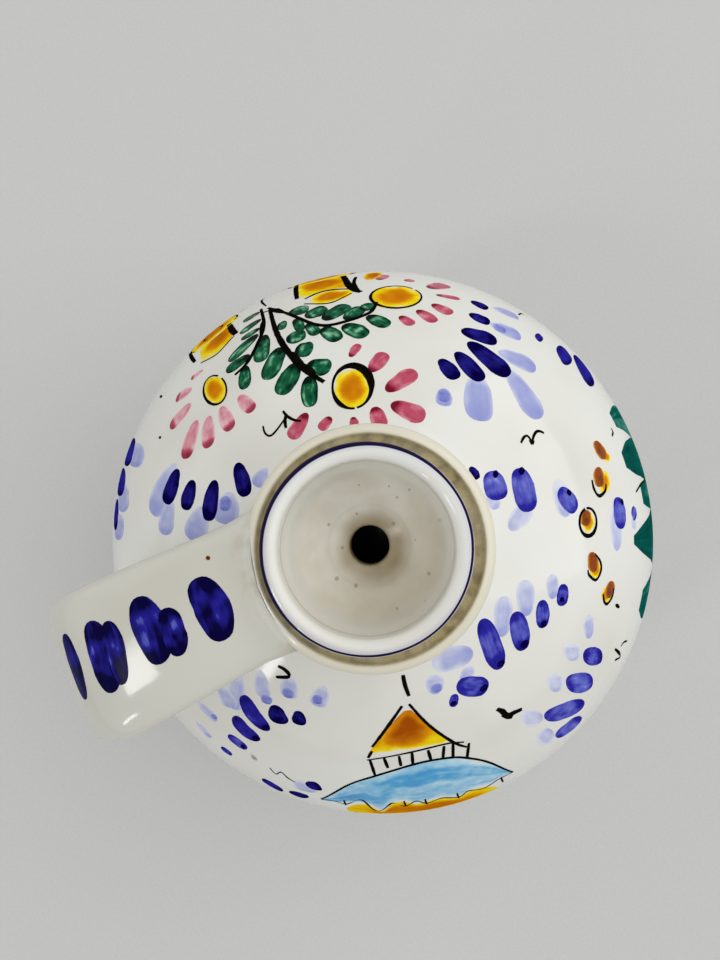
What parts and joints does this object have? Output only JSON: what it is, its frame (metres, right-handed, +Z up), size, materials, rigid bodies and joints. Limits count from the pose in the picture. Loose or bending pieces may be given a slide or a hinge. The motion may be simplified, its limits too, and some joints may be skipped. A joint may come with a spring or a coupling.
{
  "type": "handled jug",
  "caption": "Round-bodied glazed ceramic jug with a waisted neck, a cup mouth with a small throat hole, a strap handle and a foot ring, painted with brush strokes.",
  "frame": {"origin": "middle of the foot ring's underside, on the surface that the jug stands on", "axes": "+Z up along the body's axis, towards the mouth; the handle is on the -X side"},
  "size_m": [0.18, 0.18, 0.2054],
  "materials": {
    "white_glaze": "gloss white tin glaze with painted strokes",
    "cup_glaze": "gloss warm white glaze, stained near the throat",
    "bare_clay": "matt buff clay on the standing edge"
  },
  "bodies": {
    "root": {"foot_ring": "bare_clay", "lower_bowl": "white_glaze", "upper_dome": "white_glaze", "neck": "white_glaze", "collar": "white_glaze", "mouth_cup": "cup_glaze", "handle": "white_glaze"}
  },
  "joints": []
}
